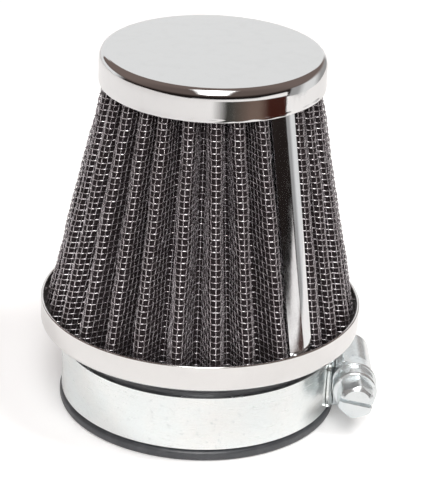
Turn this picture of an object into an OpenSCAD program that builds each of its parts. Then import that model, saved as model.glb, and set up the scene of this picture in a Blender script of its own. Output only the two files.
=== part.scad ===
// Clamp-on conical air filter for a small engine's carburettor.
// A pleated element of wire cloth and gauze stands between a pressed cap and a base ring.
// A rubber neck hangs from the ring, and a worm-drive clamp closes it on the carburettor's spigot.
// Millimetres. +Z runs up the filter's axis, the origin is the centre of the neck's mouth,
// and the clamp's screw housing lies on +X.

/* [Pleated element] */
// Number of pleats, with the one under the seam clip
pleat_count = 28; // [24:1:31]
// Radius over the pleat tips at the top of the base ring
tip_r_low = 35.3; // [34.8:0.1:35.3]
// Radius over the pleat tips at the lip of the cap
tip_r_high = 23.9; // [23.7:0.1:24]
// Radial depth of the pleats at the base
pleat_depth_low = 7.8; // [7:0.1:8]
// Radial depth of the pleats at the cap
pleat_depth_high = 6.8; // [6:0.1:7]
// Thickness of each wire cloth
cloth_t = 0.4; // [0.3:0.05:0.4]
// Thickness of each gauze ply
gauze_t = 0.22; // [0.15:0.01:0.22]

/* [Seam clip] */
// Direction of the clip, in degrees from +X
clip_azimuth = -50; // [-180:0.5:180]
// Width over the clip
clip_w = 6.3; // [5.8:0.1:6.3]
// Distance from the middle of the clip to the pleats beside it
clip_pitch = 4.9; // [4.9:0.1:5.2]

/* [Cap] */
// Height from the neck's mouth to the top of the cap
total_h = 84.4; // [80:0.1:90]
// Diameter of the cap
cap_d = 50; // [49.3:0.1:51]
// Height of the cap
cap_h = 7.2; // [5.5:0.1:8]
// Outside radius of the cap's top edge
cap_edge_r = 2.2; // [1:0.1:2.4]
// Thickness of the cap's and the ring's sheet
sheet_t = 0.7; // [0.5:0.05:0.8]

/* [Base ring] */
// Diameter of the base ring
ring_d = 73.6; // [73.2:0.1:76]
// Height of the base ring
ring_h = 6.1; // [6:0.1:8]
// Height of the ring's underside above the neck's mouth
ring_z = 19.6; // [19:0.1:22]

/* [Rubber neck] */
// Bore of the neck, for the carburettor's spigot
bore_d = 54; // [50:0.5:55]
// Outside diameter where the clamp sits
neck_d = 62.6; // [62:0.1:63]
// Outside diameter of the lip round the mouth
lip_d = 64.8; // [63.5:0.1:66]
// Height of the lip
lip_h = 2; // [1.5:0.1:2]

/* [Clamp] */
// Width of the band
band_w = 12.7; // [11:0.1:12.7]
// Thickness of the band
band_t = 0.65; // [0.5:0.05:0.7]
// Travel of the slotted end for one turn of the screw
screw_pitch = 3; // [2.5:0.1:3]
// Size of the screw's hexagon across its flats
hex_af = 7.5; // [6.5:0.5:8]
// How far the slotted end reaches past the middle of the housing, in degrees
tail_reach = 22; // [18:1:30]

/* [Hidden] */
$fn = 96;

chrome = "#d9dbdf";
wire_grey = "#8c8a88";
gauze_black = "#242122";
zinc = "#b9c3c8";
rubber_black = "#1e1f22";
potting_black = "#2b2826";

gap = 0.05;       // clearance between pieces that lie against each other
eps = 0.01;       // overlap that keeps cuts clean

// Levels along the axis
ring_top = ring_z + ring_h;
cap_lip_z = total_h - cap_h;
flange_t = 1;     // rubber flange inside the base ring
potting_t = 0.9;  // potting under the pleats
pack_z0 = ring_z + sheet_t + flange_t + potting_t;
cap_potting_t = 2.6;
pack_z1 = total_h - sheet_t - cap_potting_t;

// Pleat geometry. Each pleat is a tip arc and a valley arc joined by flanks that touch both.
ply_gap = 0.02;
pack_t = 2 * cloth_t + 2 * gauze_t + 3 * ply_gap;
tip_arc_r = pack_t / 2 + 0.35;      // middle of the pack round a tip
valley_arc_low = pack_t / 2 + 0.65; // middle of the pack round a valley, at the base
valley_arc_high = pack_t / 2 + 0.35;
tip_steps = 4;
valley_steps = 2;
clip_set = 1.9;                     // the clipped pleat stands this much lower than the others
cone_slope = (tip_r_low - tip_r_high) / (cap_lip_z - ring_top);
slope_angle = atan(cone_slope);

// Clamp geometry
neck_r = neck_d / 2;
band_r0 = neck_r + gap;             // inside of the band
band_r1 = band_r0 + band_t;
tail_r0 = band_r1 + gap;            // the slotted end lies on the band
tail_r1 = tail_r0 + band_t;
band_z = 2.8;                       // lower edge of the band
clamp_z = band_z + band_w / 2;      // middle of the band and of the screw
thread_r = 3.7;
thread_root_r = 2.75;
thread_turns = 3.4;
thread_l = thread_turns * screw_pitch;
screw_axis_r = tail_r1 + thread_r - 0.35;
mesh_r = tail_r0 + band_t / 2;      // radius at which one turn moves the slotted end by one pitch
slot_step = screw_pitch / mesh_r * 180 / PI;
lead_angle = atan(screw_pitch / (2 * PI * (thread_r + thread_root_r) / 2));
neck_rod_r = 2.5;                     // screw's plain length inside the housing's front
pin_r = 1.9;                        // screw's end in the housing's back wall
slot_w = 1.7;
slot_l = 7.6;
housing_back = 6.2;                 // the housing's end behind the middle of the thread
housing_front = 13.4;               // and its end at the screw's head
rim_front = 10.5;                   // front of the rim that the housing flares to
foot_front = 8.4;                   // front of the housing's feet and of the saddle
front_t = 1.6;                      // front wall that the screw's neck turns in
saddle_back = asin(housing_back / band_r1);
saddle_front = asin(foot_front / band_r1);
tail_back = 40;                     // where the slotted end stops behind the housing, in degrees
slotted_to = 112;                   // the slots run on round the band to here

// ---- helpers ----

function tip_r(z) = tip_r_low + (ring_top - z) * cone_slope;
function mix(a, b, t) = a + (b - a) * t;
function polar(r, angle) = [r * cos(angle), r * sin(angle)];

// Half section of a disc of radius r and height h with a rounded top edge
module rounded_half(r, h, edge) {
    square([r - edge, h]);
    square([r, h - edge]);
    translate([r - edge, h - edge]) circle(edge);
}

// Part of a ring about the axis, from angle a0 anticlockwise to a1
module arc_strip(r0, r1, z0, z1, a0, a1) {
    rotate([0, 0, a0])
        rotate_extrude(angle = a1 - a0)
            translate([r0, z0]) square([r1 - r0, z1 - z0]);
}

// ---- pleated layers ----

// share is 0 at the base of the pack and 1 at its top
function pack_z(share) = mix(pack_z0, pack_z1, share);
function tip_limit(share) = min(tip_r(pack_z(share)), ring_d / 2 - sheet_t - gap);
function outer_r(i, share) = tip_limit(share) - (i % pleat_count == 0 ? clip_set : 0);
function depth(share) = mix(pleat_depth_low, pleat_depth_high, share);
function inner_r(share) = tip_r(pack_z(share)) - depth(share);
function valley_arc(share) = mix(valley_arc_low, valley_arc_high, share);

// The pleats beside the clip stand clip_pitch from it, and the rest share the circle evenly
function side_angle(share) = asin(clip_pitch / (tip_limit(share) - pack_t / 2 - tip_arc_r));
function tip_angle(i, share) =
    i <= 0 ? 0
    : i >= pleat_count ? 360
    : side_angle(share) + (i - 1) * (360 - 2 * side_angle(share)) / (pleat_count - 2);

// Direction of a flank's normal, measured from its tip's own direction, for a valley half_gap away
function flank_normal(i, half_gap, share) =
    let (b = valley_arc(share),
         tip = [outer_r(i, share) - pack_t / 2 - tip_arc_r, 0],
         valley = polar(inner_r(share) + pack_t / 2 + b, half_gap),
         u = valley - tip)
    atan2(u.y, u.x) - acos((tip_arc_r + b) / norm(u));

// The pack's middle surface moved outward by d, as one closed outline
function pleat_outline(d, share) = [
    for (i = [0 : pleat_count - 1])
        let (here = tip_angle(i, share),
             next = tip_angle(i + 1, share),
             before = i == 0 ? tip_angle(pleat_count - 1, share) - 360 : tip_angle(i - 1, share),
             b = valley_arc(share),
             lead = flank_normal(i, (next - here) / 2, share),
             trail = flank_normal(i, (here - before) / 2, share),
             return = flank_normal(i + 1, (next - here) / 2, share),
             tip = polar(outer_r(i, share) - pack_t / 2 - tip_arc_r, here),
             valley = polar(inner_r(share) + pack_t / 2 + b, (here + next) / 2))
        each concat(
            [for (k = [0 : tip_steps])
                tip + polar(tip_arc_r + d, here + mix(-trail, lead, k / tip_steps))],
            [for (k = [0 : valley_steps])
                valley - polar(b - d, mix(here + lead, next - return, k / valley_steps))])
];

// One layer of the pack, between offsets d0 and d1 from its middle surface
module pleated_layer(d0, d1) {
    low_out = pleat_outline(d1, 0);
    n = len(low_out);
    rings = [low_out, pleat_outline(d0, 0), pleat_outline(d1, 1), pleat_outline(d0, 1)];
    points = [for (k = [0 : 3]) for (p = rings[k]) [p.x, p.y, k < 2 ? pack_z0 : pack_z1]];
    // Rings 0 and 1 are the outside and inside at the base, 2 and 3 the same at the top.
    // Both sides split their quads from low i to high j, so that twisted flanks stay parallel.
    function quad(a, b, i) = let (j = (i + 1) % n)
        [[a * n + i, b * n + i, b * n + j], [a * n + i, b * n + j, a * n + j]];
    function flipped(a, b, i) = [for (t = quad(a, b, i)) [t[0], t[2], t[1]]];
    faces = [for (i = [0 : n - 1])
        each concat(quad(0, 2, i), quad(2, 3, i), flipped(1, 3, i), quad(1, 0, i))];
    rotate([0, 0, clip_azimuth]) polyhedron(points, faces, convexity = 20);
}

module outer_wire_cloth() {
    color(wire_grey) pleated_layer(pack_t / 2 - cloth_t, pack_t / 2);
}

module outer_gauze() {
    color(gauze_black) pleated_layer(ply_gap / 2, ply_gap / 2 + gauze_t);
}

module inner_gauze() {
    color(gauze_black) pleated_layer(-ply_gap / 2 - gauze_t, -ply_gap / 2);
}

module inner_wire_cloth() {
    color(wire_grey) pleated_layer(-pack_t / 2, cloth_t - pack_t / 2);
}

// ---- seam clip ----

// Section across the clip: an arched back whose edges turn in to grip the seam's pleat
module clip_section() {
    back_r = 8;
    clip_t = 0.5;
    half = clip_w / 2;
    foot_x = half - 0.9;
    foot_y = -4.2;
    function arch(r, x, dir) = [for (k = [-8 : 8]) polar(r, 90 - dir * asin(x / r) * k / 8) - [0, back_r]];
    polygon(concat(
        arch(back_r, half, 1),
        [[foot_x, foot_y], [foot_x - clip_t, foot_y]],
        arch(back_r - clip_t, half - clip_t, -1),
        [[clip_t - foot_x, foot_y], [-foot_x, foot_y]]));
}

// The clip runs straight down the cone, so its crest keeps level with the pleat tips
module seam_clip() {
    length = (pack_z1 - pack_z0) / cos(slope_angle);
    color(chrome) rotate([0, 0, clip_azimuth]) intersection() {
        translate([tip_limit(0), 0, pack_z0])
            rotate([0, -slope_angle, 0])
                rotate([0, 0, -90])
                    translate([0, 0, -3]) linear_extrude(length + 6) clip_section();
        translate([0, 0, pack_z0]) cylinder(h = pack_z1 - pack_z0, r = ring_d);
    }
}

// ---- cap and base ----

module top_cap() {
    color(chrome) rotate_extrude() difference() {
        translate([0, cap_lip_z]) rounded_half(cap_d / 2, cap_h, cap_edge_r);
        translate([0, cap_lip_z - eps])
            rounded_half(cap_d / 2 - sheet_t, cap_h - sheet_t + eps, cap_edge_r - sheet_t);
    }
}

module cap_potting() {
    color(potting_black) translate([0, 0, pack_z1]) difference() {
        cylinder(h = cap_potting_t - gap, r = cap_d / 2 - cap_edge_r);
        translate([0, 0, -1]) cylinder(h = cap_potting_t + 2, r = inner_r(1) - 1.5);
    }
}

module base_ring() {
    edge_r = 1.2;
    rim_r = sheet_t / 2;
    color(chrome) rotate_extrude() {
        // wall with a rounded top edge
        translate([ring_d / 2 - sheet_t, ring_z + edge_r]) square([sheet_t, ring_h - edge_r - rim_r]);
        translate([ring_d / 2 - rim_r, ring_top - rim_r]) circle(rim_r);
        // rounded lower corner
        translate([ring_d / 2 - edge_r, ring_z + edge_r]) intersection() {
            difference() {
                circle(edge_r);
                circle(edge_r - sheet_t);
            }
            translate([0, -edge_r]) square(edge_r);
        }
        // flange that the neck hangs from
        translate([neck_r - 1, ring_z]) square([ring_d / 2 - edge_r - neck_r + 1, sheet_t]);
    }
}

module base_potting() {
    color(potting_black) translate([0, 0, pack_z0 - potting_t + gap]) difference() {
        cylinder(h = potting_t - gap, r = ring_d / 2 - sheet_t - gap);
        translate([0, 0, -1]) cylinder(h = potting_t + 2, r = bore_d / 2 - 0.5);
    }
}

// ---- rubber neck ----

// The ring's flange sits in a groove, so the neck holds on like a grommet
module rubber_neck() {
    top = pack_z0 - potting_t;
    stop_z = ring_z - 1.1;          // underside of the shoulder that stops the spigot
    stop_r = bore_d / 2 - 1;
    lip_edge = 0.9;
    lip_r = lip_d / 2;
    color(rubber_black) rotate_extrude() difference() {
        union() {
            square([neck_r, ring_z - gap]);
            square([neck_r - 1 - gap, top]);
            translate([0, ring_z + sheet_t + gap])
                square([ring_d / 2 - sheet_t - 0.6, flange_t - gap]);
            // lip
            square([lip_r - lip_edge, lip_h]);
            translate([0, lip_edge]) square([lip_r, lip_h - 2 * lip_edge]);
            translate([lip_r - lip_edge, lip_edge]) circle(lip_edge);
            translate([lip_r - lip_edge, lip_h - lip_edge]) circle(lip_edge);
        }
        translate([-1, -1]) square([1 + bore_d / 2, stop_z + 1]);
        translate([-1, -1]) square([1 + stop_r, top + 2]);
    }
}

// ---- clamp ----

// Cuts the inclined slots at these multiples of slot_step from +X
module slots(first, last) {
    for (k = [first : last])
        rotate([0, 0, k * slot_step]) translate([band_r0, 0, clamp_z])
            rotate([-lead_angle, 0, 0]) cube([6, slot_w, slot_l], center = true);
}

// The loop of the band, from one end of the saddle round to the other
module clamp_band() {
    color(zinc) difference() {
        arc_strip(band_r0, band_r1, band_z, band_z + band_w,
                  saddle_back + 0.2, 360 - saddle_front - 0.2);
        slots(ceil((saddle_back + 4) / slot_step), floor(slotted_to / slot_step));
    }
}

// Plate that closes the housing underneath
module clamp_saddle() {
    color(zinc) arc_strip(band_r0, band_r1, clamp_z - band_w / 2 - 0.7, clamp_z + band_w / 2 + 0.7,
                          -saddle_front, saddle_back);
}

// The slotted end of the band, which the screw feeds through the housing
module band_tail() {
    corner = 3;
    color(zinc) difference() {
        arc_strip(tail_r0, tail_r1, band_z, band_z + band_w, -tail_reach, tail_back);
        slots(-floor((tail_reach - 3) / slot_step), floor((tail_back - 3) / slot_step));
        // the free end's corners are cropped
        for (side = [-1, 1]) rotate([0, 0, -tail_reach])
            translate([tail_r0, 0, clamp_z + side * band_w / 2])
                rotate([45, 0, 0]) cube([4, corner, corner], center = true);
    }
}

// Turns a shape drawn along +Z, with +X towards the band, to lie along the screw
module along_screw() {
    translate([screw_axis_r, 0, clamp_z]) rotate([90, 0, 0]) rotate([0, 0, 180]) children();
}

module clamp_housing() {
    wall = 0.75;
    bore_r = thread_r + 0.15;
    arch_r = bore_r + wall;
    rim_r = arch_r + 0.6;
    end_t = 0.8;
    rim_l = 0.9;
    flare_l = 4;
    foot_h = 0.8;
    foot_half_w = band_w / 2 + 0.7;
    length = housing_back + housing_front;
    foot_l = housing_back + foot_front;
    color(zinc) difference() {
        union() {
            along_screw() translate([0, 0, -housing_back]) {
                cylinder(h = length, r = arch_r);
                translate([0, -arch_r, 0]) cube([screw_axis_r - band_r1 + 1, 2 * arch_r, foot_l]);
            }
            // the barrel flares to a rim behind its plain front end
            along_screw() translate([0, 0, rim_front - rim_l - flare_l]) {
                cylinder(h = flare_l, r1 = arch_r, r2 = rim_r - 0.2);
                translate([0, 0, flare_l]) cylinder(h = rim_l, r = rim_r);
            }
            // feet outside the band's edges
            translate([band_r0 - 1, housing_back - foot_l, clamp_z - foot_half_w])
                cube([tail_r1 - band_r0 + 1 + foot_h, foot_l, 2 * foot_half_w]);
        }
        // the saddle closes this side
        cylinder(h = 60, r = band_r1 + gap, center = true);
        // passage for the slotted end
        translate([0, 0, band_z - 0.1]) cylinder(h = band_w + 0.2, r = tail_r1 + 0.1);
        // bore between the end walls, open to the band along the thread
        along_screw() translate([0, 0, end_t - housing_back]) {
            cylinder(h = length - end_t - front_t, r = bore_r);
            translate([0, -bore_r, 0]) cube([9, 2 * bore_r, 2 * (housing_back - end_t)]);
        }
        // holes for the screw's neck and its rear pin
        along_screw() cylinder(h = 20, r = neck_rod_r + 0.06);
        along_screw() translate([0, 0, -20]) cylinder(h = 20, r = pin_r + 0.06);
    }
}

// Radius of the thread's section at an angle from its crest: flat crest, sloped flanks, flat root
function thread_section_r(angle) =
    let (turn = abs(angle) / 360, crest = 0.1, root = 0.3)
    turn < crest ? thread_r
    : turn > root ? thread_root_r
    : mix(thread_r, thread_root_r, (turn - crest) / (root - crest));

// Right-handed, with a crest on the band's side halfway along
module screw_thread() {
    step = 12;
    translate([0, 0, -thread_l / 2]) rotate([0, 0, -180 * thread_turns])
        linear_extrude(thread_l, twist = -360 * thread_turns, slices = ceil(thread_turns * 16), $fn = 12)
            polygon([for (angle = [-180 : step : 180 - step]) polar(thread_section_r(angle), angle)]);
}

module clamp_screw() {
    thread_end = thread_l / 2;
    collar_r = 5;
    collar_t = 1.3;
    collar_z = housing_front + gap;
    keeper_t = 1.2;
    head_h = 5.1;
    head_z = collar_z + collar_t;
    head_turn = -11;
    face_r = hex_af / 2 - 0.55;
    chamfer_slope = 0.6;
    driver_w = 1;
    driver_depth = 1.7;
    color(zinc) along_screw() {
        screw_thread();
        translate([0, 0, thread_end - 0.1]) cylinder(h = collar_z - thread_end + 0.2, r = neck_rod_r);
        translate([0, 0, -housing_back]) cylinder(h = housing_back - thread_end + 0.1, r = pin_r);
        // the front wall turns between a keeper ring and the collar
        translate([0, 0, housing_front - front_t - gap - keeper_t]) cylinder(h = keeper_t, r = thread_r - 0.4);
        translate([0, 0, collar_z]) cylinder(h = collar_t, r = collar_r);
        translate([0, 0, head_z - 0.1]) difference() {
            intersection() {
                rotate([0, 0, head_turn + 30]) cylinder(h = head_h + 0.1, r = hex_af / sqrt(3), $fn = 6);
                cylinder(h = head_h + 0.1, r1 = face_r + (head_h + 0.1) / chamfer_slope, r2 = face_r);
            }
            translate([0, 0, head_h + 0.1 - driver_depth / 2 + eps])
                rotate([0, 0, head_turn]) cube([20, driver_w, driver_depth], center = true);
        }
    }
}

// ---- the assembly ----

top_cap();
cap_potting();
outer_wire_cloth();
outer_gauze();
inner_gauze();
inner_wire_cloth();
seam_clip();
base_ring();
base_potting();
rubber_neck();
clamp_band();
clamp_saddle();
clamp_housing();
band_tail();
clamp_screw();
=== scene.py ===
"""Looks of the clamp-on conical air filter, built round its CAD frame.

Sizes are in millimetres here and are turned to metres when a mesh is made.
The frame is the CAD part's: +Z up the axis, origin at the neck's mouth, clamp housing on +X, camera on -Y.
"""

import math
import random

import bpy
import numpy as np
from mathutils import Matrix, Vector


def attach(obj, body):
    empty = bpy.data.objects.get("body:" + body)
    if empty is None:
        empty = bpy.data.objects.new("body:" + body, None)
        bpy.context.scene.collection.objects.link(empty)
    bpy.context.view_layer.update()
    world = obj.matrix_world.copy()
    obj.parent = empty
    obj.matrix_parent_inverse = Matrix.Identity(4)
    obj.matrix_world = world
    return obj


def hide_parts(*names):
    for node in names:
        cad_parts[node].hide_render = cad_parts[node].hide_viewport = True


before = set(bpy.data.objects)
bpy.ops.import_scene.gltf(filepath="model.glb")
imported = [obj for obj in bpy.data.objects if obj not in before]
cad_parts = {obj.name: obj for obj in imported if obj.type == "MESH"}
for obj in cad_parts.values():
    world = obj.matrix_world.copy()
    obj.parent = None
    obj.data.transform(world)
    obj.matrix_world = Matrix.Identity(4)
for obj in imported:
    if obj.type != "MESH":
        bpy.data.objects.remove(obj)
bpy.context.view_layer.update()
rng = random.Random(48060)
MM = 0.001
TAU = 2 * math.pi

# ---------------------------------------------------------------- sizes, as in the CAD part
# Pleated pack: low is its size at the ring, high its size at the cap.
PLEATS = 28
TIP_LOW, TIP_HIGH = 35.3, 23.9
DEPTH_LOW, DEPTH_HIGH = 7.8, 6.8
PACK_Z0, PACK_Z1, PACK_T = 22.2, 81.1, 1.3
TIP_ARC, VALLEY_LOW, VALLEY_HIGH = 1.00, 1.30, 1.00
# Seam clip: its pleat stands back by CLIP_SET and its neighbours stand CLIP_PITCH to either side.
CLIP_SET, CLIP_PITCH, CLIP_W, CLIP_AZ = 1.9, 4.9, 6.3, -50.0
# Cap and ring.
CAP_R, CAP_TOP, CAP_EDGE, CAP_LIP = 25.0, 84.4, 2.2, 77.2
CAP_LEAN, CAP_OFFSET = 2.8, Vector((0.75, 0.0, 0.0))
RING_R, RING_Z, RING_TOP = 36.8, 19.6, 25.7
RING_INSIDE = RING_R - 0.75
SLOPE = (TIP_LOW - TIP_HIGH) / (CAP_LIP - RING_TOP)
# Rubber neck and clamp.
BORE_R, NECK_R, LIP_R = 27.0, 31.3, 32.4
BAND_R0, BAND_R1, BAND_Z, BAND_W = 31.35, 32.0, 2.8, 12.7
TAIL_R0, TAIL_R1 = 32.11, 32.70
CLAMP_Z = BAND_Z + BAND_W / 2
SLOT_STEP = math.degrees(3.0 / 32.375)
SLOT_W, SLOT_L, LEAD = 1.7, 7.6, math.radians(8.4)
# Clamp screw, with its axis on -Y at SCREW_R; lengths along it start at the middle of the thread.
SCREW_R, HEX_AF, HEAD_H, HEAD_TURN = 36.05, 7.5, 5.1, math.radians(-11)
THREAD_R, THREAD_ROOT, PITCH, TURNS = 3.7, 2.75, 3.0, 3.4
HOUSING_BACK, HOUSING_FRONT, COLLAR_T = 6.2, 13.4, 1.3
COLLAR_FOOT = HOUSING_FRONT + 0.05
THREAD_HALF = PITCH * TURNS / 2


# ---------------------------------------------------------------- mesh helpers
def make_object(name, verts, faces, smooth_angle=None):
    """verts in mm, N x 3; faces an M x 4 (or M x 3) array or a list of tuples."""
    mesh = bpy.data.meshes.new(name)
    verts = np.asarray(verts, dtype=np.float64) * MM
    if isinstance(faces, np.ndarray):
        count, sides = faces.shape
        mesh.vertices.add(len(verts))
        mesh.vertices.foreach_set("co", verts.ravel())
        mesh.loops.add(count * sides)
        mesh.loops.foreach_set("vertex_index", faces.astype(np.int32).ravel())
        mesh.polygons.add(count)
        mesh.polygons.foreach_set("loop_start", np.arange(0, count * sides, sides, dtype=np.int32))
        mesh.update(calc_edges=True)
    else:
        mesh.from_pydata([tuple(v) for v in verts], [], [tuple(f) for f in faces])
    mesh.validate()
    mesh.shade_smooth()
    if smooth_angle is not None:
        mesh.set_sharp_from_angle(angle=math.radians(smooth_angle))
    obj = bpy.data.objects.new(name, mesh)
    bpy.context.scene.collection.objects.link(obj)
    return obj


def ring_faces(rings, count, closed_rings=False):
    """Quads between successive rings of count points, each ring closed."""
    i = np.arange(rings if closed_rings else rings - 1)[:, None]
    j = np.arange(count)[None, :]
    a = i * count + j
    b = i * count + (j + 1) % count
    c = ((i + 1) % rings) * count + (j + 1) % count
    d = ((i + 1) % rings) * count + j
    return np.stack([a, b, c, d], axis=-1).reshape(-1, 4)


def rounded(points, radius, steps=5):
    """Closed 2-D outline with its corners rounded. radius is a number or one per corner."""
    out = []
    n = len(points)
    radii = radius if isinstance(radius, (list, tuple)) else [radius] * n
    for k in range(n):
        p = np.array(points[k], float)
        a = np.array(points[k - 1], float) - p
        b = np.array(points[(k + 1) % n], float) - p
        la, lb = np.linalg.norm(a), np.linalg.norm(b)
        a, b = a / la, b / lb
        half = math.acos(max(-1, min(1, float(a @ b)))) / 2
        r = radii[k]
        if r <= 0 or half > math.radians(88):
            out.append(p)
            continue
        cut = min(r / math.tan(half), la * 0.49, lb * 0.49)
        r = cut * math.tan(half)
        start, end = p + a * cut, p + b * cut
        centre = p + (a + b) / np.linalg.norm(a + b) * (r / math.sin(half))
        s, e = start - centre, end - centre
        turn = math.atan2(s[0] * e[1] - s[1] * e[0], float(s @ e))
        for q in range(steps + 1):
            t = turn * q / steps
            out.append(centre + np.array([s[0] * math.cos(t) - s[1] * math.sin(t),
                                          s[0] * math.sin(t) + s[1] * math.cos(t)]))
    return np.array(out)


def lathe(name, profile, segments=256, wobble=0.0, smooth_angle=50):
    """Turns a closed (r, z) outline about the axis. wobble makes it faintly out of round."""
    profile = np.asarray(profile, float)
    ang = np.arange(segments) * TAU / segments
    shift = wobble * (np.sin(2 * ang + 0.7) + 0.5 * np.sin(5 * ang + 2.1))
    r = profile[:, 0][:, None] + shift[None, :] * (profile[:, 0][:, None] > 1)
    verts = np.stack([r * np.cos(ang), r * np.sin(ang), np.repeat(profile[:, 1][:, None], segments, 1)], -1)
    faces = ring_faces(len(profile), segments, closed_rings=True)
    return make_object(name, verts.reshape(-1, 3), faces[:, ::-1], smooth_angle)


def disc_lathe(name, profile, segments=256, smooth_angle=50):
    """Turns an open (r, z) outline whose first and last points lie on the axis."""
    profile = np.asarray(profile, float)
    inner = profile[1:-1]
    ang = np.arange(segments) * TAU / segments
    verts = np.stack([inner[:, 0][:, None] * np.cos(ang), inner[:, 0][:, None] * np.sin(ang),
                      np.repeat(inner[:, 1][:, None], segments, 1)], -1).reshape(-1, 3)
    n = len(verts)
    verts = np.vstack([verts, [0, 0, profile[0][1]], [0, 0, profile[-1][1]]])
    faces = [tuple(f) for f in ring_faces(len(inner), segments)[:, ::-1]]
    last = (len(inner) - 1) * segments
    for j in range(segments):
        k = (j + 1) % segments
        faces.append((n, j, k))
        faces.append((n + 1, last + k, last + j))
    return make_object(name, verts, faces, smooth_angle)


def tubes(name, paths, normals, radius, sides, closed=False):
    """One mesh of round wires. paths and normals are L x P x 3; normals needn't be square to the path."""
    if closed:
        tangent = np.roll(paths, -1, 1) - np.roll(paths, 1, 1)
    else:
        tangent = np.gradient(paths, axis=1)
    tangent /= np.linalg.norm(tangent, axis=-1, keepdims=True)
    side = np.cross(tangent, normals)
    side /= np.linalg.norm(side, axis=-1, keepdims=True)
    up = np.cross(side, tangent)
    lines, count = paths.shape[:2]
    ang = (np.arange(sides) + 0.5) * TAU / sides
    verts = (paths[:, :, None, :] + radius * (up[:, :, None, :] * np.cos(ang)[None, None, :, None]
                                             + side[:, :, None, :] * np.sin(ang)[None, None, :, None]))
    line = np.arange(lines)[:, None, None]
    i = np.arange(count if closed else count - 1)[None, :, None]
    j = np.arange(sides)[None, None, :]
    nxt = (i + 1) % count
    k = (j + 1) % sides
    base = line * count * sides
    faces = np.stack([base + i * sides + j, base + nxt * sides + j,
                      base + nxt * sides + k, base + i * sides + k], -1).reshape(-1, 4)
    return make_object(name, verts.reshape(-1, 3), faces)


def sweep(name, sections, smooth_angle=40):
    """Skins closed sections, S x P x 3, and caps the ends."""
    sections = np.asarray(sections, float)
    s, p = sections.shape[:2]
    faces = [tuple(f) for f in ring_faces(s, p)]
    faces.append(tuple(range(p))[::-1])
    faces.append(tuple((s - 1) * p + k for k in range(p)))
    return make_object(name, sections.reshape(-1, 3), faces, smooth_angle)


def soften(node, name, voxel, rounds, ratio):
    """A copy of a CAD node's mesh with its edges eased, as pressed or cut metal has."""
    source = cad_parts[node]
    mesh = source.data.copy()
    mesh.materials.clear()
    obj = bpy.data.objects.new(name, mesh)
    bpy.context.scene.collection.objects.link(obj)
    remesh = obj.modifiers.new("remesh", "REMESH")
    remesh.mode = "VOXEL"
    remesh.voxel_size = voxel * MM
    smooth = obj.modifiers.new("smooth", "SMOOTH")
    smooth.factor = 0.5
    smooth.iterations = rounds
    thin = obj.modifiers.new("thin", "DECIMATE")
    thin.ratio = ratio
    settled = bpy.data.meshes.new_from_object(obj.evaluated_get(bpy.context.evaluated_depsgraph_get()))
    obj.modifiers.clear()
    obj.data = settled
    settled.shade_smooth()
    settled.set_sharp_from_angle(angle=math.radians(55))
    return obj


# ---------------------------------------------------------------- node helpers
class Nodes:
    """Short calls for building a node tree."""

    def __init__(self, tree):
        self.tree = tree

    def add(self, kind, **props):
        node = self.tree.nodes.new(kind)
        for key, value in props.items():
            setattr(node, key, value)
        return node

    def feed(self, socket, value):
        """Links a socket to another node's output, or sets it to a number, a vector or a colour."""
        if isinstance(value, bpy.types.NodeSocket):
            self.tree.links.new(value, socket)
        elif isinstance(value, tuple) and len(value) < len(socket.default_value):
            socket.default_value = (*value, 1.0)
        else:
            socket.default_value = value

    def span(self, value, low, high, a=0.0, b=1.0, smooth=False):
        """Carries low to high over to a to b, and holds beyond the ends."""
        node = self.add("ShaderNodeMapRange", interpolation_type="SMOOTHSTEP" if smooth else "LINEAR")
        for key, v in (("Value", value), ("From Min", low), ("From Max", high), ("To Min", a), ("To Max", b)):
            self.feed(node.inputs[key], v)
        return node.outputs["Result"]

    def calc(self, operation, *values):
        node = self.add("ShaderNodeMath", operation=operation)
        for socket, v in zip(node.inputs, values):
            self.feed(socket, v)
        return node.outputs[0]

    def vector(self, operation, value, key, factor):
        node = self.add("ShaderNodeVectorMath", operation=operation)
        self.feed(node.inputs[0], value)
        self.feed(node.inputs[key], factor)
        return node.outputs[0]

    def mix(self, factor, a, b):
        node = self.add("ShaderNodeMix", data_type="RGBA")
        for key, v in (("Factor", factor), (6, a), (7, b)):
            self.feed(node.inputs[key], v)
        return node.outputs[2]


class Shader(Nodes):
    """A material whose textures are laid out in millimetres on the part."""

    def __init__(self, name):
        self.mat = bpy.data.materials.new(name)
        self.mat.use_nodes = True
        super().__init__(self.mat.node_tree)
        self.bsdf = self.tree.nodes["Principled BSDF"]
        self.pos = self.vector("SCALE", self.add("ShaderNodeTexCoord").outputs["Object"], "Scale", 1 / MM)

    def noise(self, scale, detail=4.0, rough=0.55, stretch=None):
        """Noise with scale features to the millimetre."""
        node = self.add("ShaderNodeTexNoise")
        place = self.vector("MULTIPLY", self.pos, 1, stretch) if stretch else self.pos
        for key, v in (("Scale", scale), ("Detail", detail), ("Roughness", rough), ("Vector", place)):
            self.feed(node.inputs[key], v)
        return node.outputs["Fac"]

    def bump(self, height, distance, chain=None):
        """Normal for a height map whose full step is distance in millimetres."""
        node = self.add("ShaderNodeBump")
        self.feed(node.inputs["Distance"], distance * MM)
        self.feed(node.inputs["Height"], height)
        if chain is not None:
            self.feed(node.inputs["Normal"], chain)
        return node.outputs["Normal"]

    def set(self, **inputs):
        for key, v in inputs.items():
            self.feed(self.bsdf.inputs[key.replace("_", " ")], v)


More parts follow.
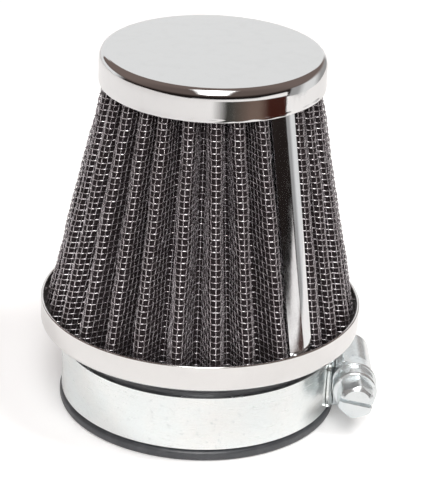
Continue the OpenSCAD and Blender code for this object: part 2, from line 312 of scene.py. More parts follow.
def chrome_material(name, tint, rough, ripple):
    """Plated sheet: a mirror with slight waves, fine wiping marks and a few dull spots."""
    s = Shader(name)
    waves = s.noise(0.09, 2.0)
    marks = s.noise(1.2, 6.0, 0.6, stretch=(1.0, 1.0, 0.18))
    dull = s.span(s.noise(0.35, 5.0), 0.48, 0.78)
    s.set(Base_Color=s.mix(dull, tint, tuple(c * 0.97 for c in tint)), Metallic=1.0)
    s.set(Roughness=s.span(marks, 0.35, 0.75, rough, rough + 0.06))
    s.set(Normal=s.bump(marks, 0.006, chain=s.bump(waves, ripple)))
    return s.mat


def zinc_material(name, light, pale, stained, rough, metallic, stretch):
    """Bright zinc: working marks, a faint blue-green cast and small stains."""
    s = Shader(name)
    grain = s.noise(2.2, 5.0, 0.6, stretch=stretch)
    cast = s.span(s.noise(0.11, 3.0), 0.35, 0.7)
    stain = s.span(s.noise(0.9, 6.0, 0.65), 0.58, 0.74)
    s.set(Base_Color=s.mix(stain, s.mix(cast, light, pale), stained), Metallic=metallic)
    s.set(Roughness=s.span(grain, 0.3, 0.75, rough, rough * 1.9))
    s.set(Normal=s.bump(grain, 0.01, chain=s.bump(s.noise(0.16, 2.0), 0.08)))
    return s.mat


def wire_material(name, light, dark, rough):
    """Drawn steel wire that has dulled unevenly and holds dust in places."""
    s = Shader(name)
    dull = s.span(s.noise(0.55, 4.0), 0.38, 0.68)
    fine = s.noise(6.0, 3.0)
    s.set(Base_Color=s.mix(dull, light, dark), Metallic=0.95)
    s.set(Roughness=s.span(fine, 0.3, 0.7, rough, rough + 0.16))
    s.set(Normal=s.bump(fine, 0.01))
    return s.mat


def gauze_material():
    """Dark oiled cotton: crossed threads, fuzz and uneven oil."""
    s = Shader("oiled_gauze")
    threads = []
    for direction in ("X", "Z"):
        wave = s.add("ShaderNodeTexWave", bands_direction=direction)
        for key, v in (("Scale", 0.55), ("Distortion", 0.9), ("Detail", 2.0), ("Vector", s.pos)):
            s.feed(wave.inputs[key], v)
        threads.append(wave.outputs["Fac"])
    both = s.calc("MAXIMUM", *threads)
    fuzz = s.noise(5.0, 6.0, 0.7)
    oil = s.span(s.noise(0.3, 3.0), 0.4, 0.65)
    colour = s.mix(both, (0.012, 0.009, 0.010), (0.036, 0.028, 0.030))
    s.set(Base_Color=s.mix(oil, colour, (0.018, 0.012, 0.013)))
    s.set(Roughness=s.span(fuzz, 0.3, 0.7, 0.75, 0.95), Specular_IOR_Level=0.25)
    s.set(Normal=s.bump(fuzz, 0.08, chain=s.bump(both, 0.10)))
    return s.mat


def rubber_material():
    """Moulded rubber: satin, finely pebbled, with dusty patches and bloom."""
    s = Shader("moulded_rubber")
    pebble = s.noise(4.5, 5.0, 0.6)
    bloom = s.span(s.noise(0.25, 4.0), 0.42, 0.72)
    dust = s.span(s.noise(2.6, 6.0, 0.7), 0.60, 0.72)
    colour = s.mix(bloom, (0.036, 0.039, 0.045), (0.066, 0.070, 0.078))
    s.set(Base_Color=s.mix(dust, colour, (0.105, 0.11, 0.115)))
    s.set(Roughness=s.span(pebble, 0.3, 0.7, 0.32, 0.50), Specular_IOR_Level=0.8)
    s.set(Normal=s.bump(pebble, 0.02, chain=s.bump(s.noise(0.5, 3.0), 0.05)))
    return s.mat


def potting_material():
    """Poured sealant: glossy where it pooled, lumpy near the folds."""
    s = Shader("cured_sealant")
    lumps = s.noise(0.6, 4.0)
    s.set(Base_Color=s.mix(s.span(lumps, 0.4, 0.7), (0.018, 0.016, 0.015), (0.035, 0.031, 0.028)))
    s.set(Roughness=s.span(s.noise(2.0, 4.0), 0.3, 0.7, 0.30, 0.55))
    s.set(Normal=s.bump(lumps, 0.35))
    return s.mat


CHROME = chrome_material("chrome_cap", (0.80, 0.805, 0.805), 0.03, 0.02)
RING_CHROME = chrome_material("chrome_ring", (0.83, 0.825, 0.815), 0.10, 0.06)
CLIP_CHROME = chrome_material("chrome_clip", (0.80, 0.81, 0.82), 0.06, 0.02)
BAND_ZINC = zinc_material("zinc_strip", (0.88, 0.925, 0.925), (0.92, 0.93, 0.915), (0.72, 0.76, 0.76), 0.17,
                          1.0, (0.12, 0.12, 3.0))
ZINC = zinc_material("zinc_plate", (0.76, 0.81, 0.83), (0.83, 0.86, 0.86), (0.56, 0.61, 0.62), 0.13,
                     0.80, (1.0, 0.5, 1.0))
WIRE = wire_material("outer_wire", (0.75, 0.72, 0.74), (0.46, 0.42, 0.44), 0.16)
INNER_WIRE = wire_material("inner_wire", (0.55, 0.54, 0.52), (0.35, 0.33, 0.31), 0.30)
GAUZE = gauze_material()
RUBBER = rubber_material()
POTTING = potting_material()


def keep(obj, body, slot, material, *nodes):
    """Dresses a finished piece, fixes it to a body and stands it in for CAD nodes."""
    obj.data.materials.clear()
    obj.data.materials.append(material)
    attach(obj, body)
    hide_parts(*nodes)
    return obj


# ---------------------------------------------------------------- pleated surface
WARPS = 12                # warp wires to a pleat, one on the tip and one in the valley
CELL_POINTS = 2           # points along a wire for each cell of the weave
HALF = WARPS // 2 * CELL_POINTS
BUCKLE = 0.10             # height of the slow waves across the cloth
tip_shift = [rng.uniform(-0.25, 0.10) for _ in range(PLEATS)]
turn_shift = [rng.uniform(-1.3, 1.3) for _ in range(PLEATS)]
tip_shift[0] = turn_shift[0] = 0.0


def direction(deg):
    """Unit vector in the plane at an angle in degrees."""
    a = math.radians(deg)
    return np.array([math.cos(a), math.sin(a)])


def tip_radius(z):
    """Outside of the pleats' tips at height z."""
    return TIP_LOW + (RING_TOP - z) * SLOPE


def pleat_angle(i, z):
    """Azimuth of pleat i in degrees. Pleat 0 is under the clip, and its neighbours keep their distance."""
    side = math.degrees(math.asin(CLIP_PITCH / (min(tip_radius(z), RING_INSIDE) - PACK_T / 2 - TIP_ARC)))
    if i % PLEATS == 0:
        return CLIP_AZ + 360.0 * (i // PLEATS)
    turns, k = divmod(i, PLEATS)
    return CLIP_AZ + 360.0 * turns + side + (k - 1) * (360 - 2 * side) / (PLEATS - 2) + turn_shift[k]


def half_pleat(i, step, share, d):
    """Outline from the tip of pleat i to the middle of the valley on one side, with its outward normals."""
    z = PACK_Z0 + (PACK_Z1 - PACK_Z0) * share
    here = pleat_angle(i, z)
    gap = (pleat_angle(i + 1, z) - here if step > 0 else here - pleat_angle(i - 1, z)) / 2
    b = VALLEY_LOW + (VALLEY_HIGH - VALLEY_LOW) * share
    k = i % PLEATS
    outer = min(tip_radius(z), RING_INSIDE - 0.15) - (CLIP_SET if k == 0 else 0) + tip_shift[k]
    inner = tip_radius(z) - (DEPTH_LOW + (DEPTH_HIGH - DEPTH_LOW) * share)
    tip = np.array([outer - PACK_T / 2 - TIP_ARC, 0.0])
    valley = direction(gap) * (inner + PACK_T / 2 + b)
    u = valley - tip
    tangent = math.acos(min(1.0, (TIP_ARC + b) / np.linalg.norm(u)))
    lean = math.degrees(math.atan2(u[1], u[0]) - tangent)
    pts, nrm = [], []
    for q in np.linspace(0, lean, 10):
        pts.append(tip + direction(q) * (TIP_ARC + d))
        nrm.append(direction(q))
    for q in np.linspace(lean, gap, 10):
        pts.append(valley - direction(q) * (b - d))
        nrm.append(direction(q))
    pts, nrm = np.array(pts), np.array(nrm)
    length = np.concatenate([[0], np.cumsum(np.linalg.norm(np.diff(pts, axis=0), axis=1))])
    want = np.linspace(0, length[-1], HALF + 1)
    pts = np.stack([np.interp(want, length, pts[:, c]) for c in (0, 1)], 1)
    nrm = np.stack([np.interp(want, length, nrm[:, c]) for c in (0, 1)], 1)
    if step < 0:
        pts[:, 1] *= -1
        nrm[:, 1] *= -1
    a = math.radians(here)
    turn = np.array([[math.cos(a), math.sin(a)], [-math.sin(a), math.cos(a)]])
    return pts @ turn, nrm @ turn


def outline(share, d):
    """The whole pleated outline, starting in the valley before the clipped pleat."""
    pts, nrm = [], []
    for i in range(PLEATS):
        for step in (-1, 1):
            p, n = half_pleat(i, step, share, d)
            if step < 0:
                p, n = p[::-1], n[::-1]
            pts.append(p[:-1])
            nrm.append(n[:-1])
    return np.vstack(pts), np.vstack(nrm)


def ruled(d, zs, columns=None):
    """Points and normals on the surface at offset d: columns x len(zs) x 3."""
    low, nl = outline(0.0, d)
    high, nh = outline(1.0, d)
    if columns is not None:
        low, high, nl, nh = low[columns], high[columns], nl[columns], nh[columns]
    t = ((np.asarray(zs) - PACK_Z0) / (PACK_Z1 - PACK_Z0))[None, :, None]
    xy = low[:, None, :] * (1 - t) + high[:, None, :] * t
    n = nl[:, None, :] * (1 - t) + nh[:, None, :] * t
    third = xy.shape[:2] + (1,)
    pos = np.concatenate([xy, np.broadcast_to(np.asarray(zs)[None, :, None], third)], -1)
    n = np.concatenate([n, np.full(third, SLOPE)], -1)
    return pos, n / np.linalg.norm(n, axis=-1, keepdims=True)


def pack_lean(z):
    """The pack leans sideways a little, and carries the cap off the axis."""
    return CAP_OFFSET.x * (np.asarray(z) - RING_TOP) / (CAP_LIP - RING_TOP)


def buckle(pos, normals):
    """Slow waves across the cloth, so no fold runs dead straight. They fade out at the cap and the ring."""
    z = pos[..., 2]
    a = np.arctan2(pos[..., 1], pos[..., 0])
    wave = (np.sin(z * 0.21 + 9 * a) + 0.7 * np.sin(z * 0.37 - 23 * a + 1.3)
            + 0.4 * np.sin(z * 0.9 + 40 * a))
    fade_run = 6
    fade = np.clip((z - RING_TOP) / fade_run, 0, 1) * np.clip((CAP_LIP - z) / fade_run, 0, 1)
    pos = pos + normals * (BUCKLE * wave * fade)[..., None]
    pos[..., 0] += pack_lean(z)
    return pos


def woven_cloth(prefix, d, radius, sides, row_pitch, material, node, parts):
    """A square weave over the pleats: warps run up the folds, and each weft goes once round."""
    lift, clear = radius * 0.98, 0.2
    cells = PLEATS * WARPS
    rows = int((PACK_Z1 - PACK_Z0) / row_pitch)
    zs = np.linspace(PACK_Z0 + clear, PACK_Z1 - clear, rows * CELL_POINTS + 1)

    def wires(kind, pos, nrm, first, closed):
        over = (np.cos(math.pi * np.arange(pos.shape[1]) / CELL_POINTS)[None, :]
                * np.where(np.arange(pos.shape[0]) % 2, -first, first)[:, None])
        pos = buckle(pos + nrm * (lift * over)[..., None], nrm)
        for k, group in enumerate(np.array_split(np.arange(pos.shape[0]), parts)):
            obj = tubes(f"{prefix}_{kind}_{k + 1}", pos[group], nrm[group], radius, sides, closed)
            keep(obj, "filter", "wire", material, node)

    pos, nrm = ruled(d, zs, np.arange(cells) * CELL_POINTS)
    wires("warps", pos, nrm, -1, False)
    pos, nrm = ruled(d, zs[::CELL_POINTS])
    wires("wefts", pos.transpose(1, 0, 2), nrm.transpose(1, 0, 2), 1, True)


def gauze_ply(name, outer_d, inner_d, node):
    """One sheet of cotton between two offsets from the middle of the pack."""
    zs = np.linspace(PACK_Z0, PACK_Z1, 41)
    outer, inner = (buckle(*ruled(d, zs)).transpose(1, 0, 2) for d in (outer_d, inner_d))
    loops = np.concatenate([outer, inner[::-1]])
    faces = ring_faces(loops.shape[0], loops.shape[1], closed_rings=True)
    keep(make_object(name, loops.reshape(-1, 3), faces), "filter", "gauze", GAUZE, node)


woven_cloth("outer_cloth", 0.45, 0.13, 5, 1.28, WIRE, "outer_wire_cloth", 3)
woven_cloth("inner_cloth", -0.45, 0.13, 3, 1.28, INNER_WIRE, "inner_wire_cloth", 2)
gauze_ply("gauze_outside", 0.17, 0.02, "outer_gauze")
gauze_ply("gauze_inside", -0.02, -0.17, "inner_gauze")


# ---------------------------------------------------------------- seam clip
def seam_clip():
    """Folded strip over the pack's joint: a crowned back and two legs down the sides of its pleat."""
    half, back, thick, foot_x, foot_y = CLIP_W / 2, 8.0, 0.5, CLIP_W / 2 - 0.9, -4.2
    edge = math.sqrt(back * back - half * half) - back
    outer = [(back * math.sin(a), back * math.cos(a) - back)
             for a in np.linspace(-math.asin(half / back), math.asin(half / back), 21)]
    lean = math.asin((half - thick) / (back - thick))
    inner = [((back - thick) * math.sin(a), (back - thick) * math.cos(a) - back)
             for a in np.linspace(lean, -lean, 15)]
    shape = outer + [(half - 0.05, edge - 0.35), (foot_x, foot_y), (foot_x - thick, foot_y)] + inner
    shape += [(thick - foot_x, foot_y), (-foot_x, foot_y), (-half + 0.05, edge - 0.35)]
    az = math.radians(CLIP_AZ)
    out, side = np.array([math.cos(az), math.sin(az), 0]), np.array([-math.sin(az), math.cos(az), 0])
    sections = []
    for z in np.linspace(PACK_Z0, PACK_Z1, 60):
        sag = 0.03 * math.sin(z * 0.12 + 1)
        r = min(tip_radius(z), RING_INSIDE) + sag * 0.5
        place = np.array([pack_lean(z), 0, z])
        sections.append([out * (r + y) + side * (x + sag) + place for x, y in shape])
    obj = sweep("seam_strip", sections, 32)
    keep(obj, "filter", "chrome", CLIP_CHROME, "seam_clip")


seam_clip()


# ---------------------------------------------------------------- cap, ring and potting
def seat(obj):
    """The cap is set down a little crooked: it leans forward and sits off the axis."""
    pivot = Vector((0, 0, CAP_LIP)) * MM
    lean = Matrix.Rotation(math.radians(CAP_LEAN), 4, "X")
    obj.data.transform(Matrix.Translation(pivot + CAP_OFFSET * MM) @ lean @ Matrix.Translation(-pivot))


def pressed_cap():
    """Flat top, rolled edge, plain wall and a lip that curls out unevenly by a tenth or two."""
    t, lip = 0.7, 0.28
    shy, roll = 0.07, 1.5    # the wall stands shy of the CAD's, and roll is the rolled edge's width
    edge_z = CAP_TOP - CAP_EDGE
    edge = []
    for a in np.radians(np.concatenate([np.linspace(0, 72, 30), np.linspace(73, 80, 6)])):
        size = math.hypot(roll * math.sin(a), CAP_EDGE * math.cos(a))
        edge.append((CAP_R - shy - roll + roll ** 2 * math.sin(a) / size,
                     edge_z + CAP_EDGE ** 2 * math.cos(a) / size))
    # the wall leaves the roll at an angle and straightens within a millimetre
    spring, drop = math.radians(10), 0.15
    for a in np.linspace(spring, 0, 9)[1:]:
        last_r, last_z = edge[-1]
        edge.append((last_r + drop * math.sin(a), last_z - drop))
    wall_r, wall_z = edge[-1]
    wall = [(wall_r, z) for z in np.linspace(wall_z - 2 * drop, CAP_LIP + lip, 9)]
    foot = [(wall_r - lip * (1 - math.cos(a)), CAP_LIP + lip * (1 - math.sin(a)))
            for a in np.linspace(0.3, math.pi / 2, 5)]
    inside = [(CAP_R - t, CAP_LIP), (CAP_R - t, edge_z), (CAP_R - CAP_EDGE, CAP_TOP - t), (0, CAP_TOP - t)]
    top = [(q, CAP_TOP) for q in (0.0, 6.0, 12.0, 18.0, 22.5)]
    obj = disc_lathe("cap_shell", top + edge + wall + foot + inside, 384, 40)
    co = np.empty(len(obj.data.vertices) * 3)
    obj.data.vertices.foreach_get("co", co)
    co = co.reshape(-1, 3)
    r, ang, z = np.hypot(co[:, 0], co[:, 1]), np.arctan2(co[:, 1], co[:, 0]), co[:, 2] / MM
    # the curl grows over the last millimetre of the wall's outside
    curl = 0.07 + 0.05 * np.sin(3 * ang + 1.2) + 0.03 * np.sin(11 * ang) + 0.02 * np.sin(29 * ang + 2)
    out = np.clip((CAP_LIP + 1.1 - z) / 0.8, 0, 1) ** 2 * curl * (r > (CAP_R - t - 0.1) * MM)
    co[:, :2] *= (1 + out * MM / np.maximum(r, MM))[:, None]
    obj.data.vertices.foreach_set("co", co.ravel())
    seat(obj)
    keep(obj, "filter", "chrome", CHROME, "top_cap")


def base_ring():
    """Drawn cup round the foot of the pack, with its floor turned in under the rubber."""
    t, edge, hole = 0.7, 1.2, NECK_R - 1
    shape = [(RING_R, RING_Z), (RING_R, RING_TOP), (RING_R - t, RING_TOP), (RING_R - t, RING_Z + t),
             (hole, RING_Z + t), (hole, RING_Z)]
    obj = lathe("ring_shell", rounded(shape, [edge, 0.25, 0.3, 0.5, 0.15, 0.15], 7), 320, 0.02, 40)
    keep(obj, "filter", "chrome", RING_CHROME, "base_ring")


def potting(name, r0, r1, z0, z1, level, node):
    """A poured disc. level is the height of the lumps on its open face: the top if positive, else the foot."""
    segments, rings = 192, 10
    radii = np.linspace(r0, r1, rings)
    verts = []
    for face in (0, 1):
        for r in (radii if face == 0 else radii[::-1]):
            for k in range(segments):
                a = k * TAU / segments
                lump = (math.sin(31 * a + r) * 0.5 + math.sin(13 * a - 2 * r) * 0.3
                        + math.sin(3 * r + 5 * a) * 0.4)
                z = z1 if face == 0 else z0
                if (face == 0) == (level > 0):
                    z += level * lump * 0.4
                verts.append((r * math.cos(a), r * math.sin(a), z))
    obj = make_object(name, verts, ring_faces(2 * rings, segments, closed_rings=True), 60)
    if level < 0:
        seat(obj)
    keep(obj, "filter", "potting", POTTING, node)


pressed_cap()
base_ring()
potting("cap_sealant", 15.2, CAP_R - CAP_EDGE, PACK_Z1, PACK_Z1 + 2.5, -0.35, "cap_potting")
potting("ring_sealant", 26.5, RING_INSIDE, PACK_Z0 - 1.95, PACK_Z0, 0.45, "base_potting")


# ---------------------------------------------------------------- rubber neck
def rubber_neck():
    """Moulding with a lip at the mouth, a groove for the band, a bead, and a flange held by the ring."""
    top, throat, flange, stop = PACK_Z0 - 2, NECK_R - 1.05, RING_R - 1.3, BORE_R - 1
    groove, bead = NECK_R - 0.06, NECK_R + 0.35
    shape = [(BORE_R, 0.0), (LIP_R, 0.0), (LIP_R, 2.1), (groove, 2.6), (groove, 16.6), (bead, 17.0),
             (bead, 18.3), (NECK_R, 18.8), (NECK_R, RING_Z - 0.05), (throat, RING_Z - 0.05),
             (throat, RING_Z + 0.75), (flange, RING_Z + 0.75), (flange, top), (stop, top),
             (stop, 18.5), (BORE_R, 18.5)]
    soft = [0.7, 0.8, 0.7, 0.3, 0.2, 0.25, 0.3, 0.3, 0.1, 0.05, 0.05, 0.2, 0.3, 0.5, 0.3, 0.2]
    obj = lathe("neck_moulding", rounded(shape, soft, 6), 320, 0.03, 50)
    keep(obj, "filter", "rubber", RUBBER, "rubber_neck")


rubber_neck()


# ---------------------------------------------------------------- clamp
def strip(name, r0, r1, a0, a1, slot_first, slot_last, crop=0.0, feather=0.0):
    """A curved band from angle a0 to a1 in degrees, with inclined slots at whole multiples of SLOT_STEP.
    crop rounds the corners at a0. feather thins the last stretch at a1, in degrees."""
    half_w, half_slot = BAND_W / 2, SLOT_L / 2
    plain_end, square_end, column, thin_edge = 2.6, 1.2, 1.1, 0.12
    slot_half = math.degrees(SLOT_W / 2 / ((r0 + r1) / 2))
    slots = [k * SLOT_STEP for k in range(slot_first, slot_last + 1)]
    slots = [s for s in slots if a0 + plain_end < s < a1 - plain_end]
    edges = {round(a0, 4): 0, round(a1, 4): 0}
    for s in slots:
        edges[round(s - slot_half, 4)] = 1
        edges[round(s + slot_half, 4)] = 2
    marks = sorted(edges)
    cols = []
    for m, nxt in zip(marks, marks[1:]):
        span = nxt - m
        steps = max(1, int(round(span / column)))
        hole = edges[m] == 1
        if not hole and m == marks[0] and crop:
            steps = max(steps, 8)
        for q in range(1 if hole else steps):
            cols.append((m + (span * q / steps if not hole else 0), hole))
    cols.append((marks[-1], False))
    lean = math.degrees(math.tan(LEAD) / ((r0 + r1) / 2))
    levels = [-half_w, -half_slot, half_slot, half_w]
    verts, index = [], {}
    for c, (a, _) in enumerate(cols):
        inset = 0.0
        if crop:
            reach = math.radians(a - a0) * r1
            if reach < crop:
                inset = crop - math.sqrt(max(0, crop * crop - (crop - reach) ** 2))
        shear = 0.0 if a - a0 < square_end or a1 - a < square_end else lean
        thin = 1.0
        if feather and a1 - a < feather:
            thin = thin_edge + (1 - thin_edge) * (a1 - a) / feather
        for side, r in enumerate((r0, r0 + (r1 - r0) * thin)):
            for k, (level, trim) in enumerate(zip(levels, (inset, 0, 0, -inset))):
                ang = math.radians(a + shear * max(-half_slot, min(half_slot, level)))
                index[c, side, k] = len(verts)
                verts.append((r * math.cos(ang), r * math.sin(ang), CLAMP_Z + level + trim))
    faces = []
    for c in range(len(cols) - 1):
        hole = cols[c][1]
        for k in range(3):
            if hole and k == 1:
                faces.append((index[c, 0, 1], index[c, 1, 1], index[c, 1, 2], index[c, 0, 2])[::-1])
                faces.append((index[c + 1, 0, 1], index[c + 1, 1, 1], index[c + 1, 1, 2], index[c + 1, 0, 2]))
                continue
            faces.append((index[c, 1, k], index[c + 1, 1, k], index[c + 1, 1, k + 1], index[c, 1, k + 1]))
            faces.append((index[c, 0, k], index[c, 0, k + 1], index[c + 1, 0, k + 1], index[c + 1, 0, k]))
        faces.append((index[c, 0, 0], index[c + 1, 0, 0], index[c + 1, 1, 0], index[c, 1, 0]))
        faces.append((index[c, 0, 3], index[c, 1, 3], index[c + 1, 1, 3], index[c + 1, 0, 3]))
        if hole:
            faces.append((index[c, 0, 1], index[c, 1, 1], index[c + 1, 1, 1], index[c + 1, 0, 1])[::-1])
            faces.append((index[c, 0, 2], index[c, 1, 2], index[c + 1, 1, 2], index[c + 1, 0, 2]))
    last = len(cols) - 1
    for k in range(3):
        faces.append((index[0, 0, k], index[0, 1, k], index[0, 1, k + 1], index[0, 0, k + 1]))
        faces.append((index[last, 0, k], index[last, 0, k + 1], index[last, 1, k + 1], index[last, 1, k]))
    obj = make_object(name, verts, faces, 30)
    bevel = obj.modifiers.new("bevel", "BEVEL")
    bevel.width = 0.13 * MM
    bevel.segments = 2
    bevel.limit_method = "ANGLE"
    bevel.angle_limit = math.radians(40)
    bevel.harden_normals = True
    return obj


def along_screw(points):
    """Turns points drawn along +Z, with +X towards the band, to lie along the screw."""
    p = np.asarray(points, float)
    return np.stack([SCREW_R - p[..., 0], -p[..., 2], CLAMP_Z - p[..., 1]], -1)


def worm_shank():
    """Turned parts of the screw: rear pin, plain neck, keeper ring and domed collar."""
    pin, neck, keeper, collar, face = 1.9, 2.5, 3.3, 5, 3.6
    keep0 = HOUSING_FRONT - 2.85
    keep1, front = keep0 + 1.2, COLLAR_FOOT + COLLAR_T
    shape = [(0, -HOUSING_BACK), (pin, -HOUSING_BACK), (pin, -THREAD_HALF), (neck, -THREAD_HALF), (neck, keep0),
             (keeper, keep0), (keeper, keep1), (neck, keep1), (neck, COLLAR_FOOT), (collar, COLLAR_FOOT),
             (collar, front), (face, front + 0.06), (0, front + 0.06)]
    soft = [0, 0.2, 0.1, 0.1, 0.1, 0.15, 0.15, 0.1, 0.1, 0.3, 0.42, 0.3, 0]
    profile = rounded(shape, soft, 6)
    ang = np.arange(96) * TAU / 96
    inner = profile[1:-1]
    rings = np.stack([inner[:, :1] * np.cos(ang), inner[:, :1] * np.sin(ang),
                      np.repeat(inner[:, 1:], len(ang), 1)], -1)
    keep(sweep("worm_shank", along_screw(rings), 35), "screw", "zinc", ZINC, "clamp_screw")


def worm_thread():
    """One right-handed start with rounded crests, each section a circle that swells on one side."""
    sides, crest, flank = 60, 0.1, 0.2
    ang = np.arange(sides) * TAU / sides - math.pi
    share = np.clip((np.abs(ang) / TAU - crest) / flank, 0, 1)
    radius = THREAD_R + (THREAD_ROOT - THREAD_R) * (3 * share ** 2 - 2 * share ** 3)
    rings = []
    for z in np.linspace(-THREAD_HALF, THREAD_HALF, 150):
        turn = ang + z / PITCH * TAU
        rings.append(np.stack([radius * np.cos(turn), radius * np.sin(turn), np.full(sides, z)], -1))
    keep(sweep("worm_thread", along_screw(rings), 60), "screw", "zinc", ZINC, "clamp_screw")


def worm_head():
    """Hexagon, well chamfered, with a driver's slot from flat to flat."""
    slot_depth, slot, soft_corner, chamfer = 1.7, 0.5, 0.9, 0.6
    foot = COLLAR_FOOT + COLLAR_T
    top, floor = foot + HEAD_H, foot + HEAD_H - slot_depth
    corner_r, flat_r = HEX_AF / math.sqrt(3), HEX_AF / 2
    face_r = flat_r - 0.55
    hexagon = rounded([(corner_r * math.cos((k + 0.5) * TAU / 6), corner_r * math.sin((k + 0.5) * TAU / 6))
                       for k in range(6)], soft_corner, 6)
    hexagon = np.concatenate([np.linspace(p, q, 6, endpoint=False)
                              for p, q in zip(hexagon, np.roll(hexagon, -1, 0))])
    upper = [p for p in hexagon if p[1] > slot + 0.02]
    start = next(k for k in range(len(upper)) if np.linalg.norm(upper[k] - upper[k - 1]) > 3)
    upper = np.array([(flat_r, slot)] + upper[start:] + upper[:start] + [(-flat_r, slot)])
    c, d = math.cos(HEAD_TURN), math.sin(HEAD_TURN)
    for name, shape, low, high in (("worm_head_base", hexagon, foot, floor),
                                   ("worm_head_upper", upper, floor, top),
                                   ("worm_head_lower", -upper, floor, top)):
        loops = [(shape, low), (shape, high)]
        if high == top:
            size = np.linalg.norm(shape, axis=1, keepdims=True)
            face = shape * np.minimum(1, face_r / size)
            drop = np.maximum(size - face_r, 0)[:, 0] * chamfer
            middle = face.mean(0)
            loops[1:] = [(shape, top - drop - 0.06), (face, top - 0.05), (middle + (face - middle) * 0.97, top)]
        rings = []
        for flat, level in loops:
            x, y = flat[:, 0] * c - flat[:, 1] * d, flat[:, 0] * d + flat[:, 1] * c
            rings.append(np.stack([x, y, np.broadcast_to(level, x.shape)], -1))
        keep(sweep(name, along_screw(rings), 28), "screw", "zinc", ZINC, "clamp_screw")


keep(strip("band_loop", BAND_R0, BAND_R1, 11.4, 344.6, 3, 21), "clamp", "zinc", BAND_ZINC, "clamp_band")
keep(strip("band_free_end", TAIL_R0, TAIL_R1, -22.0, 40.0, -3, 6, crop=3.0, feather=9.0),
     "tail", "zinc", BAND_ZINC, "band_tail")
keep(soften("clamp_housing", "screw_housing", 0.11, 8, 0.35), "clamp", "zinc", ZINC, "clamp_housing")
keep(soften("clamp_saddle", "housing_saddle", 0.16, 2, 0.6), "clamp", "zinc", ZINC, "clamp_saddle")
worm_shank()
worm_thread()
worm_head()


# ---------------------------------------------------------------- studio
def paper_floor():
    """Pale paper under the part. The camera sees it a little lifted, as in an overexposed studio shot."""
    left, right, near, far = -1000, 230, -410, 2990
    corners = [(left, near, 0), (right, near, 0), (right, far, 0), (left, far, 0)]
    obj = make_object("floor", corners, [(0, 1, 2, 3)])
    s = Shader("floor")
    paper = (0.90, 0.90, 0.90)
    seen = s.add("ShaderNodeLightPath").outputs["Is Camera Ray"]
    s.set(Base_Color=paper, Roughness=0.9, Emission_Color=paper,
          Emission_Strength=s.span(seen, 0.0, 1.0, 0.0, 0.22))
    obj.data.materials.append(s.mat)


def area_light(name, place, size, power, colour):
    """A square softbox aimed at the part, kept out of the reflections."""
    light = bpy.data.lights.new(name, "AREA")
    light.shape = "RECTANGLE"
    light.size = light.size_y = size * MM
    light.energy = power
    light.color = colour
    obj = bpy.data.objects.new(name, light)
    target = Vector((0, 0, 40))
    obj.location = Vector(place) * MM
    obj.rotation_euler = (target - Vector(place)).to_track_quat("-Z", "Y").to_euler()
    obj.visible_glossy = False
    bpy.context.scene.collection.objects.link(obj)


def floor_card():
    """Dark table beyond the paper's near edge. The cap's wall and the clip mirror it; the camera never sees it.
    Its shades change with the azimuth, in radians, and with the reach from the part, in millimetres."""
    inner, outer, height, steps = 178.0, 1400.0, 0.5, 30
    white, black = (0.9, 0.9, 0.9), (0.012, 0.011, 0.011)
    grey, tan, red_brown = (0.055, 0.055, 0.050), (0.16, 0.115, 0.095), (0.045, 0.014, 0.010)
    verts, faces = [], []
    for k, a in enumerate(np.linspace(math.radians(-108), math.radians(-13), steps)):
        verts += [(r * math.cos(a), r * math.sin(a), height) for r in (inner, outer)]
        if k:
            faces.append((2 * k - 2, 2 * k - 1, 2 * k + 1, 2 * k))
    obj = make_object("card", verts, faces)
    s = Shader("card")
    split = s.add("ShaderNodeSeparateXYZ")
    s.feed(split.inputs[0], s.pos)
    azimuth = s.calc("ARCTAN2", split.outputs["Y"], split.outputs["X"])
    length = s.add("ShaderNodeVectorMath", operation="LENGTH")
    s.feed(length.inputs[0], s.pos)
    reach = length.outputs["Value"]
    shade = s.mix(s.span(azimuth, -1.25, -0.90), grey, tan)
    shade = s.mix(s.span(azimuth, -0.77, -0.57), shade, red_brown)
    shade = s.mix(s.span(azimuth, -1.57, -1.31), white, shade)
    shade = s.mix(s.span(reach, 265.0, 290.0), shade, white)
    beyond = s.calc("SUBTRACT", reach, s.span(azimuth, -0.8, -0.4, 0.0, 240.0))
    shade = s.mix(s.span(beyond, 420.0, 560.0), shade, black)
    s.set(Base_Color=shade, Roughness=0.9, Specular_IOR_Level=0.0)
    obj.data.materials.append(s.mat)
    obj.visible_camera = False
    obj.visible_diffuse = False
    obj.visible_shadow = False


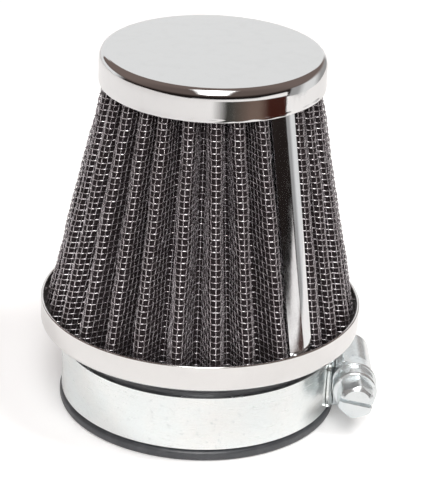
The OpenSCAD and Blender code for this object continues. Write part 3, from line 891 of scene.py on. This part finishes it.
def surroundings():
    """What the metal mirrors, by direction: x to the right, y away from the camera, z up."""
    world = bpy.data.worlds.new("studio")
    bpy.context.scene.world = world
    world.use_nodes = True
    n = Nodes(world.node_tree)
    split = n.add("ShaderNodeSeparateXYZ")
    n.feed(split.inputs[0], n.add("ShaderNodeTexCoord").outputs["Generated"])
    x, y, z = split.outputs

    def span(value, low, high, a, b):
        return n.span(value, low, high, a, b, smooth=True)

    def product(first, *rest):
        for factor in rest:
            first = n.calc("MULTIPLY", first, factor)
        return first

    # pale paper stands up behind the part
    right = n.calc("MULTIPLY", n.calc("MAXIMUM", x, 0.0), 2.0)
    paper_top = span(x, -0.62, -0.40, 0.12, 0.46)
    paper = product(span(z, paper_top, n.calc("ADD", paper_top, 0.07), 1.0, 0.0),
                    span(n.calc("SUBTRACT", y, right), 0.02, 0.38, 0.0, 1.0))
    # a lower strip of it carries on to the right
    strip_top = span(y, 0.1, 0.7, 0.20, 0.36)
    beside = product(span(y, -0.16, -0.10, 0.0, 1.0), span(z, strip_top, 0.05, 0.0, 1.0),
                     span(x, 0.2, 0.5, 0.0, 1.0), span(y, 0.02, 0.25, 0.36, 0.80),
                     span(y, 0.45, 0.70, 1.0, 0.42))
    # a soft light hangs overhead and reaches forward over the camera
    soft = product(span(y, -0.16, -0.36, 0.0, 8.0), span(z, 0.28, 0.42, 0.0, 1.0),
                   span(x, -0.27, 0.02, 0.0, 1.0), span(x, 0.32, 0.06, 0.0, 1.0))
    # a dim brown room is seen over the paper and beside it
    bare = n.calc("SUBTRACT", 1.0, paper)
    room = product(span(y, -0.60, 0.10, 0.70, 1.0), span(z, 0.0, 0.30, 0.12, 1.0), bare)
    white = n.calc("ADD", n.calc("ADD", n.calc("MULTIPLY", paper, 0.86), beside), soft)
    total = n.vector("ADD", n.vector("SCALE", (1.0, 1.0, 1.0), "Scale", white), 1,
                     n.vector("SCALE", (0.19, 0.145, 0.13), "Scale", room))
    # the camera itself sees pale paper wherever the floor stops
    seen = n.add("ShaderNodeLightPath").outputs["Is Camera Ray"]
    back = n.tree.nodes["Background"]
    n.feed(back.inputs["Color"], n.mix(seen, total, (0.93, 0.93, 0.93)))
    back.inputs["Strength"].default_value = 1.0


def studio():
    paper_floor()
    floor_card()
    surroundings()
    area_light("key", (330, -120, 620), 180, 1.9, (1.0, 0.99, 0.97))
    area_light("rim", (-420, 300, 420), 130, 0.6, (0.97, 0.99, 1.0))
    view = bpy.context.scene.view_settings
    view.view_transform = "Standard"
    view.look = "None"
    view.exposure = 0.0


def camera():
    """Stands in front of the neck, looking down on the cap, with the slight roll of a hand-held shot."""
    place = Vector((0, -340.2, 186.47)) * MM
    forward = Vector((0.00614, 0.91741, -0.39789)).normalized()
    up = Vector((-0.04002, 0.39781, 0.91660))
    right = forward.cross(up).normalized()
    up = right.cross(forward)
    data = bpy.data.cameras.new("camera")
    data.sensor_width = 36.0
    data.lens = 121.16
    data.clip_start = 0.01
    obj = bpy.data.objects.new("camera", data)
    obj.matrix_world = Matrix((
        (right.x, up.x, -forward.x, place.x),
        (right.y, up.y, -forward.y, place.y),
        (right.z, up.z, -forward.z, place.z),
        (0, 0, 0, 1)))
    bpy.context.scene.collection.objects.link(obj)
    bpy.context.scene.camera = obj


studio()
camera()
